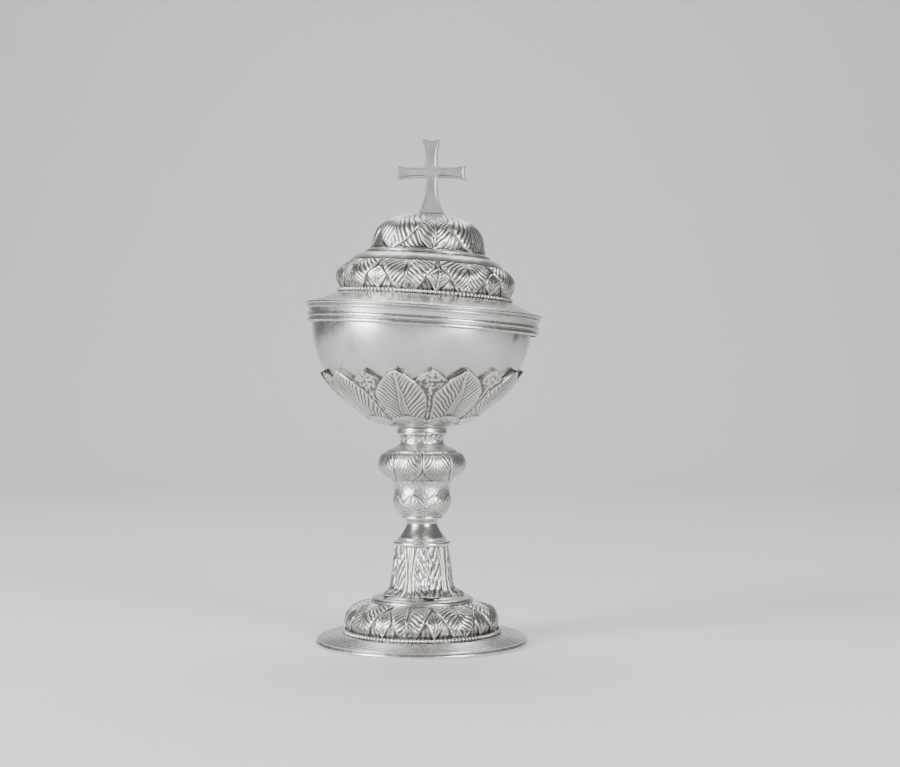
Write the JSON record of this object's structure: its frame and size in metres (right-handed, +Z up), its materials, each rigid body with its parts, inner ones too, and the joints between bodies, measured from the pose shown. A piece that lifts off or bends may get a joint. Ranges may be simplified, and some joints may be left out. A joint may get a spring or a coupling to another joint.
{
  "type": "ciborium vessel",
  "caption": "Covered silver cup on a knopped stem and round foot, with leaf-chased bands and a domed lift-off lid topped by a cross.",
  "frame": {"origin": "centre of the foot's underside, on the surface that the vessel stands on", "axes": "+Z up along the stem; -Y is the side that the cross faces"},
  "size_m": [0.1126, 0.1129, 0.2414],
  "materials": {
    "silver_plain": "silver-plated brass, turned and polished, softly worn",
    "silver_chased": "silver-plated brass, embossed and chased, dark in the recesses",
    "iron": "dull unplated iron"
  },
  "bodies": {
    "stand": {"foot_rim": "silver_plain", "foot_plate": "silver_plain", "foot_bead_wire": "silver_chased", "foot_dome": "silver_chased", "foot_shoulder": "silver_plain", "stem_bell": "silver_chased", "stem_torus": "silver_plain", "stem_neck": "silver_plain", "stem_ring": "silver_plain", "stem_vase": "silver_chased", "knop": "silver_chased", "stem_collar": "silver_plain", "tie_rod": "iron", "foot_washer": "iron", "foot_nut": "iron", "cup_boss": "iron", "calyx": "silver_chased", "cup_bowl": "silver_plain"},
    "lid": {"lid_rim": "silver_plain", "lid_flange": "silver_plain", "lid_bead_wire": "silver_chased", "lid_band": "silver_chased", "lid_ring": "silver_plain", "lid_dome": "silver_chased", "cross_finial": "silver_plain", "finial_washer": "iron", "finial_nut": "iron"}
  },
  "joints": [
    {"name": "lid_lift", "type": "slide", "parent": "stand", "child": "lid", "axis": [0, 0, 1], "range_m": [0, 0.06]}
  ]
}
